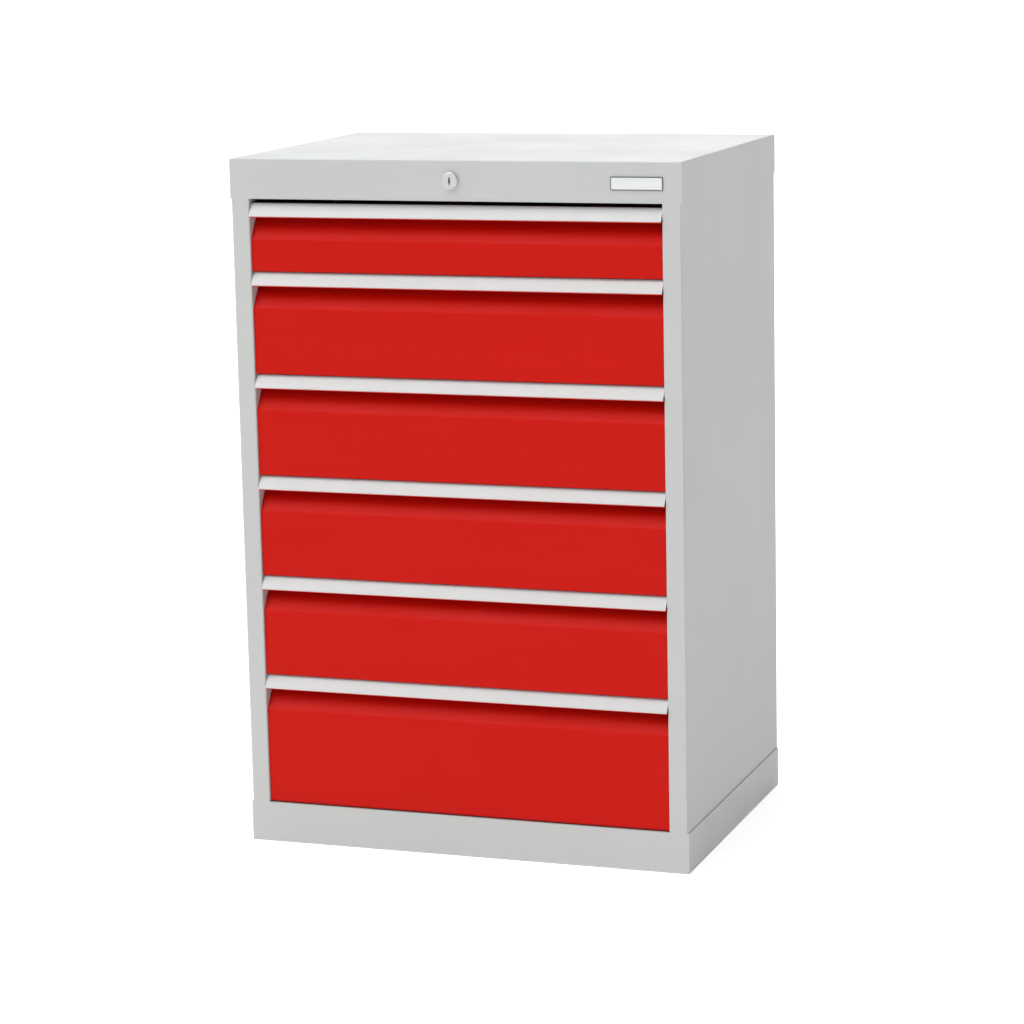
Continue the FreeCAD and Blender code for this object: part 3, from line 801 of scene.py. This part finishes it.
def facing(piece, direction):
    """Faces of a piece that point this way, read outside edit mode."""
    bpy.ops.object.mode_set(mode="OBJECT")
    test = faces_towards(direction)
    return [face for face in piece.data.polygons if test(piece.data, face)]


def smooth(angle):
    """Leave edit mode and smooth the active piece, except at its sharper edges."""
    bpy.ops.object.mode_set(mode="OBJECT")
    bpy.ops.object.shade_smooth_by_angle(angle=math.radians(angle))


def finish_piece(piece, body, slot, *materials):
    """Give a new piece its materials, and let it ride on a body; the slot argument is not used."""
    for material in materials:
        piece.data.materials.append(material)
    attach(piece, body)


def rivet_head(name, place, direction, sizes):
    """Head of a blind rivet, with the hole where its mandrel broke off."""
    aim = Vector(direction)
    deselect_all()
    bpy.ops.mesh.primitive_cylinder_add(
        vertices=16,
        radius=sizes.rivet_diameter / 2,
        depth=sizes.rivet_height * 0.5,
        location=Vector(place) + aim * sizes.rivet_height * 0.25,
        rotation=aim.to_track_quat("Z", "Y").to_euler(),
    )
    fix_in_place()
    piece = named(name)
    pick(piece, "FACE", faces_towards(aim))
    shoulder = sizes.rivet_diameter * 0.13
    bpy.ops.mesh.inset(thickness=shoulder, depth=sizes.rivet_height * 0.35)
    bpy.ops.mesh.inset(thickness=shoulder, depth=sizes.rivet_height * 0.15)
    bpy.ops.mesh.inset(thickness=sizes.rivet_diameter * 0.02, depth=0.0)
    bpy.ops.mesh.inset(thickness=sizes.rivet_diameter * 0.02, depth=-sizes.rivet_height * 0.4)
    smooth(40.0)
    return piece


def copied(piece, offset):
    """Copy of a piece, with its own mesh, moved by an offset."""
    deselect_all()
    piece.select_set(True)
    bpy.context.view_layer.objects.active = piece
    bpy.ops.object.duplicate(linked=False)
    bpy.ops.transform.translate(value=offset)
    fix_in_place()
    return bpy.context.active_object


def joined(name, pieces):
    """Several pieces as one."""
    deselect_all()
    for piece in pieces:
        piece.select_set(True)
    bpy.context.view_layer.objects.active = pieces[0]
    bpy.ops.object.join()
    return named(name)


class CABINET_OT_casing(bpy.types.Operator):
    """Coat the casing's sheets in light grey"""

    bl_idname = "cabinet.casing"
    bl_label = "Casing paint"

    def execute(self, context):
        dress(CASING_SHEETS, casing_paint(context.scene.cabinet_paint))
        return {"FINISHED"}


class CABINET_OT_fronts(bpy.types.Operator):
    """Coat the drawer fronts in red"""

    bl_idname = "cabinet.fronts"
    bl_label = "Front paint"

    def execute(self, context):
        for number in DRAWERS:
            material = front_paint(context.scene.cabinet_paint, number)
            dress(["drawer_front_" + str(number)], material)
        return {"FINISHED"}


class CABINET_OT_trays(bpy.types.Operator):
    """Coat the drawer trays in light grey"""

    bl_idname = "cabinet.trays"
    bl_label = "Tray paint"

    def execute(self, context):
        dress(numbered("drawer_tray_"), tray_paint(context.scene.cabinet_paint))
        return {"FINISHED"}


class CABINET_OT_strips(bpy.types.Operator):
    """Give the handle strips their anodised aluminium"""

    bl_idname = "cabinet.strips"
    bl_label = "Handle strips"

    def execute(self, context):
        dress(numbered("handle_strip_"), strip_metal(context.scene.cabinet_metals))
        return {"FINISHED"}


class CABINET_OT_uprights(bpy.types.Operator):
    """Give the slotted uprights their zinc plating, rolled upwards"""

    bl_idname = "cabinet.uprights"
    bl_label = "Slotted uprights"

    def execute(self, context):
        metals = context.scene.cabinet_metals
        dress(UPRIGHTS, rolled_zinc(metals, "upright_zinc", (1.0, 1.0, 150.0)))
        return {"FINISHED"}


class CABINET_OT_runners(bpy.types.Operator):
    """Give the runners their zinc plating, rolled lengthwise, and their stops rubber"""

    bl_idname = "cabinet.runners"
    bl_label = "Runners"

    def execute(self, context):
        metals = context.scene.cabinet_metals
        rails = numbered("cabinet_rail_") + numbered("middle_rail_") + numbered("drawer_rail_")
        dress(rails, rolled_zinc(metals, "runner_zinc", (1.0, 150.0, 1.0)))
        dress(["rail_buffers"], stop_rubber(metals))
        return {"FINISHED"}


class CABINET_OT_lock(bpy.types.Operator):
    """Give the lock's housing and plug their satin nickel"""

    bl_idname = "cabinet.lock"
    bl_label = "Lock"

    def execute(self, context):
        dress(["lock_housing", "lock_plug"], turned_nickel(context.scene.cabinet_metals))
        return {"FINISHED"}


class CABINET_OT_linkage(bpy.types.Operator):
    """Give the locking linkage its zinc plating"""

    bl_idname = "cabinet.linkage"
    bl_label = "Locking linkage"

    def execute(self, context):
        dress(LINKAGE, linkage_zinc(context.scene.cabinet_metals))
        return {"FINISHED"}


class CABINET_OT_tumblers(bpy.types.Operator):
    """Model the row of tumblers at the bottom of the key slot"""

    bl_idname = "cabinet.tumblers"
    bl_label = "Key tumblers"

    def execute(self, context):
        plug_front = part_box("lock_plug")[0].y
        housing_low, housing_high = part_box("lock_housing")
        centre = housing_low.lerp(housing_high, 0.5)
        row_depth = 0.0055
        row_size = (0.0017, 0.0007, 0.0098)
        cuts = 6
        shoulder = 0.0001
        first_rise = 0.0004
        rise_step = 0.0005
        deselect_all()
        bpy.ops.mesh.primitive_cube_add(
            size=1.0,
            location=(centre.x, plug_front + row_depth, centre.z),
            scale=row_size,
        )
        fix_in_place()
        piece = named("key_tumblers")
        pick(piece, "EDGE", edges_along((0.0, 0.0, 1.0)))
        bpy.ops.mesh.subdivide(number_cuts=cuts)
        levels = sorted(
            {round(face.center.z, 6) for face in facing(piece, (0.0, -1.0, 0.0))}
        )
        for index, level in enumerate(levels):
            rise = first_rise + rise_step * ((index * 2) % 3)

            def at_level(mesh, face, level=level):
                return face.normal.y < -0.99 and abs(face.center.z - level) < 0.0002

            pick(piece, "FACE", at_level)
            bpy.ops.mesh.inset(thickness=shoulder, depth=rise)
        smooth(30.0)
        finish_piece(piece, "lock_plug", "lock_nickel", keyway_brass())
        return {"FINISHED"}


class CABINET_OT_bare_plate(bpy.types.Operator):
    """Model the bare plate on the fascia: a pale face in a thin dark edge"""

    bl_idname = "cabinet.bare_plate"
    bl_label = "Bare plate"

    def execute(self, context):
        sizes = context.scene.cabinet_fittings
        metals = context.scene.cabinet_metals
        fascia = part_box("base_plinth")[0].y
        corner = 0.0016
        crease = 0.0002
        rim = 0.0009
        centre = (
            sizes.plate_right - sizes.plate_width / 2,
            fascia - sizes.plate_thickness / 2,
            sizes.plate_level,
        )
        deselect_all()
        bpy.ops.mesh.primitive_cube_add(
            size=1.0,
            location=centre,
            scale=(sizes.plate_width, sizes.plate_thickness, sizes.plate_height),
        )
        fix_in_place()
        piece = named("bare_plate")
        pick(piece, "EDGE", edges_along((0.0, 1.0, 0.0)))
        bpy.ops.mesh.bevel(offset=corner, segments=4)
        pick(piece, "FACE", faces_towards((0.0, -1.0, 0.0)))
        bpy.ops.mesh.inset(thickness=crease, depth=crease)
        bpy.ops.mesh.inset(thickness=rim, depth=0.0)
        bpy.ops.mesh.inset(thickness=crease, depth=-crease)
        smooth(30.0)
        finish_piece(piece, "casing", "lock_nickel", plate_edge(metals), plate_face(metals))
        face = max(facing(piece, (0.0, -1.0, 0.0)), key=lambda part: part.area)
        face.material_index = 1
        return {"FINISHED"}


class CABINET_OT_rear_rivets(bpy.types.Operator):
    """Model the blind rivets that hold the back on the side walls' flanges"""

    bl_idname = "cabinet.rear_rivets"
    bl_label = "Rear rivets"

    def execute(self, context):
        sizes = context.scene.cabinet_fittings
        low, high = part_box("rear_panel")
        side_margin = 0.012
        end_margin = 0.07
        rows = 7
        step = (high.z - low.z - 2 * end_margin) / (rows - 1)
        place = (low.x + side_margin, high.y, low.z + end_margin)
        first = rivet_head("rear_rivets", place, (0.0, 1.0, 0.0), sizes)
        column = [first]
        for index in range(1, rows):
            column.append(copied(first, (0.0, 0.0, index * step)))
        column = joined("rear_rivets", column)
        across = high.x - low.x - 2 * side_margin
        piece = joined("rear_rivets", [column, copied(column, (across, 0.0, 0.0))])
        material = rivet_steel(context.scene.cabinet_metals)
        finish_piece(piece, "casing", "zinc_steel", material)
        return {"FINISHED"}


class CABINET_OT_tray_rivets(bpy.types.Operator):
    """Model the blind rivets inside the trays, through the runners and the fronts"""

    bl_idname = "cabinet.tray_rivets"
    bl_label = "Tray rivets"

    def execute(self, context):
        sizes = context.scene.cabinet_fittings
        material = rivet_steel(context.scene.cabinet_metals)
        low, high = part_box("drawer_tray_1")
        sheet = 0.001
        margin = 0.06
        rail_level = low.z + 0.024
        flange_level = low.z + 0.0075
        pieces = []
        for side, wall in ((1.0, low.x + sheet), (-1.0, high.x - sheet)):
            place = (wall, low.y + margin, rail_level)
            first = rivet_head("tray_rivets", place, (side, 0.0, 0.0), sizes)
            pieces.append(first)
            for share in (0.5, 1.0):
                reach = (high.y - low.y - 2 * margin) * share
                pieces.append(copied(first, (0.0, reach, 0.0)))
        place = (low.x + margin, low.y + sheet, flange_level)
        first = rivet_head("tray_rivets", place, (0.0, 1.0, 0.0), sizes)
        pieces.append(first)
        for share in (1 / 3, 2 / 3, 1.0):
            reach = (high.x - low.x - 2 * margin) * share
            pieces.append(copied(first, (reach, 0.0, 0.0)))
        sets = [joined("tray_rivets_1", pieces)]
        for number in DRAWERS[1:]:
            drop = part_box("drawer_tray_" + str(number))[0].z - low.z
            copied(sets[0], (0.0, 0.0, drop))
            sets.append(named("tray_rivets_" + str(number)))
        for number, piece in zip(DRAWERS, sets):
            finish_piece(piece, "drawer_" + str(number), "zinc_steel", material)
        return {"FINISHED"}


class CABINET_OT_stage(bpy.types.Operator):
    """Lay the floor, hang the lights and set the camera"""

    bl_idname = "cabinet.stage"
    bl_label = "Studio"

    def execute(self, context):
        studio = context.scene.cabinet_studio
        floor_size = 160.0
        deselect_all()
        bpy.ops.mesh.primitive_plane_add(size=floor_size, location=(0.0, 0.0, 0.0))
        floor = named("studio_floor")
        floor.data.materials.append(studio_floor(studio))
        self.light_room(context.scene, studio)
        ceiling = (0.42, 0.05, -1.0)
        front = (0.22, 0.80, -0.57)
        self.hang_light("ceiling_light", ceiling, studio.ceiling_light, studio.ceiling_width)
        self.hang_light("front_light", front, studio.front_light, studio.front_width)
        self.set_camera(context.scene, studio)
        context.scene.view_settings.view_transform = "Standard"
        return {"FINISHED"}

    def light_room(self, scene, studio):
        """White room light, strongest at eye level and on the wall behind the cabinet."""
        room = Finish("studio_room", "worlds", "Generated")
        band = {
            "Value": room.along("Z"),
            "From Min": 0.0,
            "From Max": 0.24,
            "To Min": studio.horizon_light,
            "To Max": studio.zenith_light,
        }
        walls = room.add("ShaderNodeMapRange", {}, band)
        behind = room.step(room.along("Y"), 0.7, 0.95) * (1.0 - room.step(room.along("Z"), 0.25, 0.6))
        glow = {"Color": (1.0, 1.0, 1.0, 1.0), "Strength": walls + behind * studio.back_wall_light}
        light = room.add("ShaderNodeBackground", {}, glow)
        room.add("ShaderNodeOutputWorld", {}, {"Surface": light})
        scene.world = room.holder

    def hang_light(self, name, direction, strength, width):
        """Wide, even light that shines in one direction."""
        aim = Vector(direction)
        place = aim * -4.0
        turn = aim.to_track_quat("-Z", "Y").to_euler()
        bpy.ops.object.light_add(type="SUN", location=place, rotation=turn)
        lamp = bpy.context.active_object
        lamp.name = name
        lamp.data.energy = strength
        lamp.data.angle = width

    def set_camera(self, scene, studio):
        """Camera where the photograph was taken from."""
        azimuth = math.radians(19.486)
        elevation = math.radians(10.736)
        roll = math.radians(-1.194)
        place = (1.6236, -4.604, 1.3939)
        forward = Vector(
            (
                -math.sin(azimuth) * math.cos(elevation),
                math.cos(azimuth) * math.cos(elevation),
                -math.sin(elevation),
            )
        )
        right = forward.cross(Vector((0.0, 0.0, 1.0))).normalized()
        up = right.cross(forward)
        rolled_right = right * math.cos(roll) + up * math.sin(roll)
        rolled_up = up * math.cos(roll) - right * math.sin(roll)
        turn = Matrix((rolled_right, rolled_up, -forward)).transposed()
        bpy.ops.object.camera_add(location=place, rotation=turn.to_euler())
        camera = bpy.context.active_object
        camera.name = "photo_camera"
        camera.data.lens = studio.camera_lens
        camera.data.sensor_width = 36.0
        camera.data.clip_end = 300.0
        scene.camera = camera


class CABINET_PT_panel(bpy.types.Panel):
    """Sizes, colours and steps of the cabinet's look"""

    bl_idname = "CABINET_PT_panel"
    bl_label = "Drawer cabinet"
    bl_space_type = "VIEW_3D"
    bl_region_type = "UI"
    bl_category = "Cabinet"

    def draw(self, context):
        layout = self.layout
        for heading, name in SETTINGS:
            box = layout.box()
            box.label(text=heading)
            settings = getattr(context.scene, name)
            for key in settings.__annotations__:
                box.prop(settings, key)
        steps = layout.column(align=True)
        for step in STEPS:
            steps.operator(step.bl_idname)


SETTINGS = (
    ("Paint", "cabinet_paint"),
    ("Metal", "cabinet_metals"),
    ("Fittings", "cabinet_fittings"),
    ("Studio", "cabinet_studio"),
)

STEPS = (
    CABINET_OT_casing,
    CABINET_OT_fronts,
    CABINET_OT_trays,
    CABINET_OT_strips,
    CABINET_OT_uprights,
    CABINET_OT_runners,
    CABINET_OT_lock,
    CABINET_OT_linkage,
    CABINET_OT_tumblers,
    CABINET_OT_bare_plate,
    CABINET_OT_rear_rivets,
    CABINET_OT_tray_rivets,
    CABINET_OT_stage,
)

GROUPS = (PaintSettings, MetalSettings, FittingSettings, StudioSettings)


def register():
    """Register the settings, the steps and the panel."""
    for entry in GROUPS + STEPS + (CABINET_PT_panel,):
        bpy.utils.register_class(entry)
    for (heading, name), group in zip(SETTINGS, GROUPS):
        setattr(bpy.types.Scene, name, bpy.props.PointerProperty(type=group, name=heading))


def unregister():
    """Take out what register put in."""
    for heading, name in SETTINGS:
        delattr(bpy.types.Scene, name)
    for entry in reversed(GROUPS + STEPS + (CABINET_PT_panel,)):
        bpy.utils.unregister_class(entry)


def main():
    """Take every step in order."""
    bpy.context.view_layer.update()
    register()
    bpy.ops.cabinet.casing()
    bpy.ops.cabinet.fronts()
    bpy.ops.cabinet.trays()
    bpy.ops.cabinet.strips()
    bpy.ops.cabinet.uprights()
    bpy.ops.cabinet.runners()
    bpy.ops.cabinet.lock()
    bpy.ops.cabinet.linkage()
    bpy.ops.cabinet.tumblers()
    bpy.ops.cabinet.bare_plate()
    bpy.ops.cabinet.rear_rivets()
    bpy.ops.cabinet.tray_rivets()
    bpy.ops.cabinet.stage()


if __name__ == "__main__":
    main()
